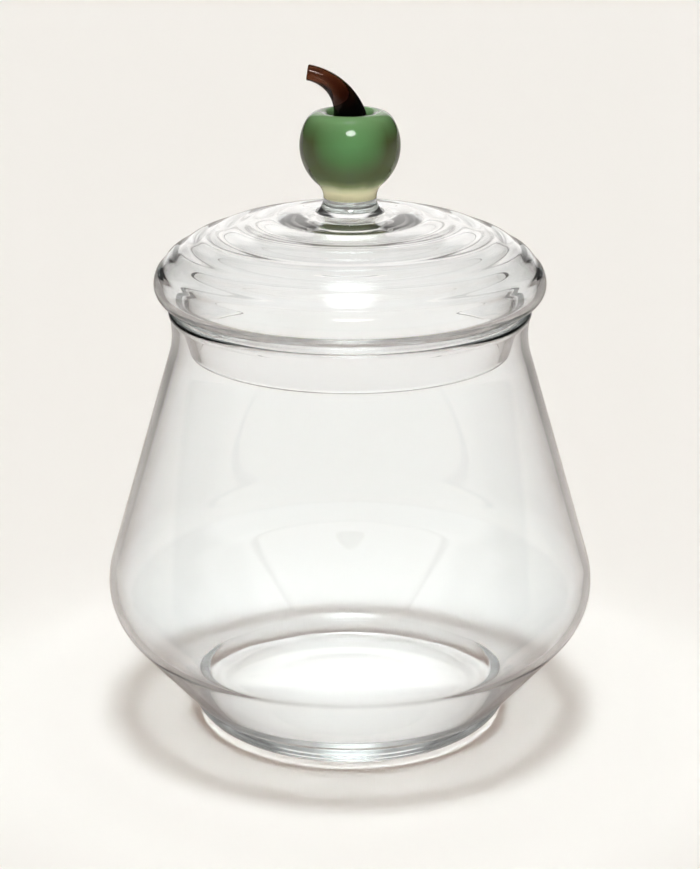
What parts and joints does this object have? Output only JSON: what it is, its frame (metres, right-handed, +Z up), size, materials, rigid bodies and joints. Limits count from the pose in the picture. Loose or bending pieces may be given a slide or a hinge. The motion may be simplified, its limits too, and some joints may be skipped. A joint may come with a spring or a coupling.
{
  "type": "storage jar",
  "caption": "Clear glass storage jar, onion-shaped, with a lift-off rippled dome lid whose hollow plug sits in the mouth and a green apple knob with a bent brown stem.",
  "frame": {"origin": "centre of the foot on the surface that the jar stands on", "axes": "+Z up along the jar's axis, the stem bends towards -X, -Y faces the viewer"},
  "size_m": [0.16, 0.16, 0.2168],
  "materials": {
    "clear_glass": "polished",
    "green_glass": "polished",
    "brown_glass": "polished"
  },
  "bodies": {
    "jar": {"jar_body": "clear_glass"},
    "lid": {"lid_shell": "clear_glass", "knob_neck": "clear_glass", "apple_knob": "green_glass", "apple_stem": "brown_glass"}
  },
  "joints": [
    {"name": "lid_lift", "type": "slide", "parent": "jar", "child": "lid", "axis": [0, 0, 1], "range_m": [0, 0.15]}
  ]
}
